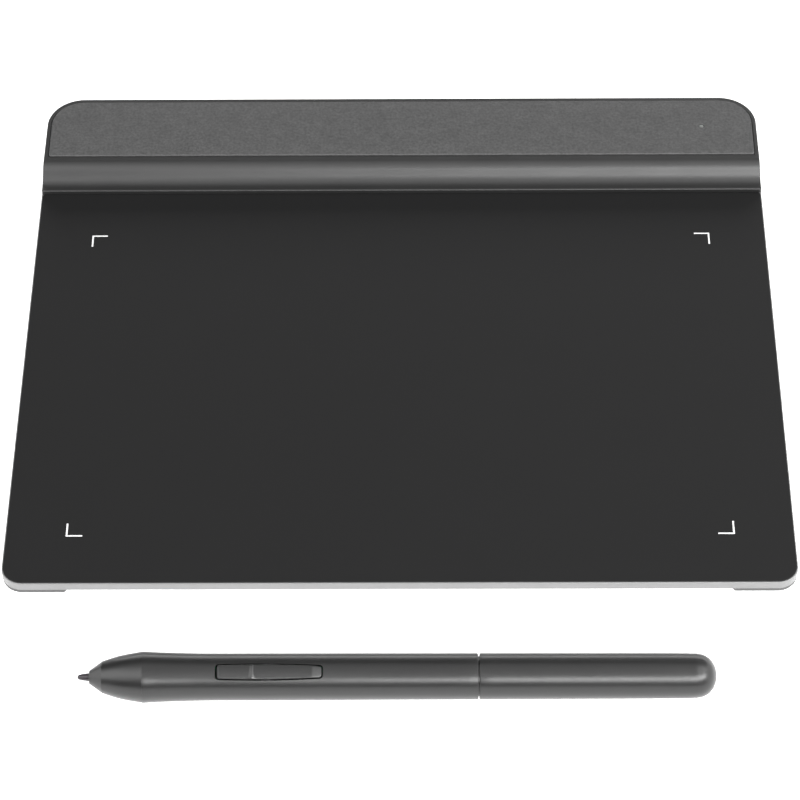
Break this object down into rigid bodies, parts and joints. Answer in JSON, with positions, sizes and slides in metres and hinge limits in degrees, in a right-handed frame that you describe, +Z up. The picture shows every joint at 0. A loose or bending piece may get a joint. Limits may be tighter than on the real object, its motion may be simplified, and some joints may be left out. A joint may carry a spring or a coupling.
{
  "type": "pen drawing tablet",
  "caption": "Slim drawing tablet with a flat matt surface, a silver edge and a raised rear bar with a pen rest cove, and its tapered battery-free pen with a rocker button.",
  "frame": {"origin": "on the desk, under the centre of the box that holds the tablet and the pen in front of it", "axes": "+X to the right across the tablet, +Y from the user to the back of the tablet, +Z up out of the drawing surface"},
  "size_m": [0.19, 0.196, 0.0119],
  "materials": {
    "surface_film": "matte",
    "silver_edge": "satin",
    "shell_plastic": "matte",
    "bar_plastic": "satin",
    "panel_plastic": "matte",
    "foot_rubber": "matte",
    "pen_plastic": "satin",
    "nib_plastic": "satin",
    "inner_plastic": "matte",
    "connector_plastic": "matte",
    "flex_film": "satin",
    "circuit_board": "satin",
    "clear_plastic": "gloss",
    "silicone": "matte",
    "steel": "satin",
    "foil": "satin",
    "copper": "satin",
    "ferrite": "matte"
  },
  "bodies": {
    "tablet": {"work_surface": "surface_film", "edge_frame": "silver_edge", "bottom_shell": "shell_plastic", "sensor_board": "circuit_board", "shield_foil": "foil", "bar_housing": "bar_plastic", "panel_insert": "panel_plastic", "controller_board": "circuit_board", "controller_chip": "inner_plastic", "signal_chip": "inner_plastic", "memory_chip": "inner_plastic", "crystal": "steel", "board_connector": "connector_plastic", "sensor_connector": "connector_plastic", "sensor_flex": "flex_film", "usb_shell": "steel", "usb_tongue": "inner_plastic", "status_led": "connector_plastic", "light_pipe": "clear_plastic", "foot_front_left": "foot_rubber", "foot_front_right": "foot_rubber", "foot_rear_left": "foot_rubber", "foot_rear_right": "foot_rubber", "case_screw_1": "steel", "case_screw_2": "steel", "case_screw_3": "steel", "case_screw_4": "steel", "board_screw_1": "steel", "board_screw_2": "steel"},
    "pen": {"nose_cone": "pen_plastic", "front_barrel": "pen_plastic", "rear_barrel": "pen_plastic", "coupling_sleeve": "inner_plastic", "rocker_pin": "steel", "rocker_bracket": "steel", "switch_front": "inner_plastic", "switch_rear": "inner_plastic", "pen_board": "circuit_board", "pen_chip": "inner_plastic", "board_carrier": "inner_plastic", "ferrite_core": "ferrite", "coil_winding": "copper", "sensor_housing": "inner_plastic", "pressure_sensor": "connector_plastic"},
    "nib": {"nib": "nib_plastic", "nib_holder": "nib_plastic", "sensor_pad": "silicone"},
    "rocker": {"rocker_button": "pen_plastic"}
  },
  "joints": [
    {"name": "pen_lift", "type": "slide", "parent": "tablet", "child": "pen", "axis": [0, 0, 1], "range_m": [0, 0.12]},
    {"name": "nib_press", "type": "slide", "parent": "pen", "child": "nib", "axis": [1, 0.005, -0.0057], "range_m": [0, 0.0006], "stiffness_N_per_m": 1500},
    {"name": "rocker_tilt", "type": "hinge", "parent": "pen", "child": "rocker", "pos_m": [-0.02993, -0.09312, 0.00853], "axis": [-0.0023, 0.9135, 0.4067], "range_deg": [-1.5, 1.5], "stiffness_Nm_per_rad": 0.1}
  ]
}
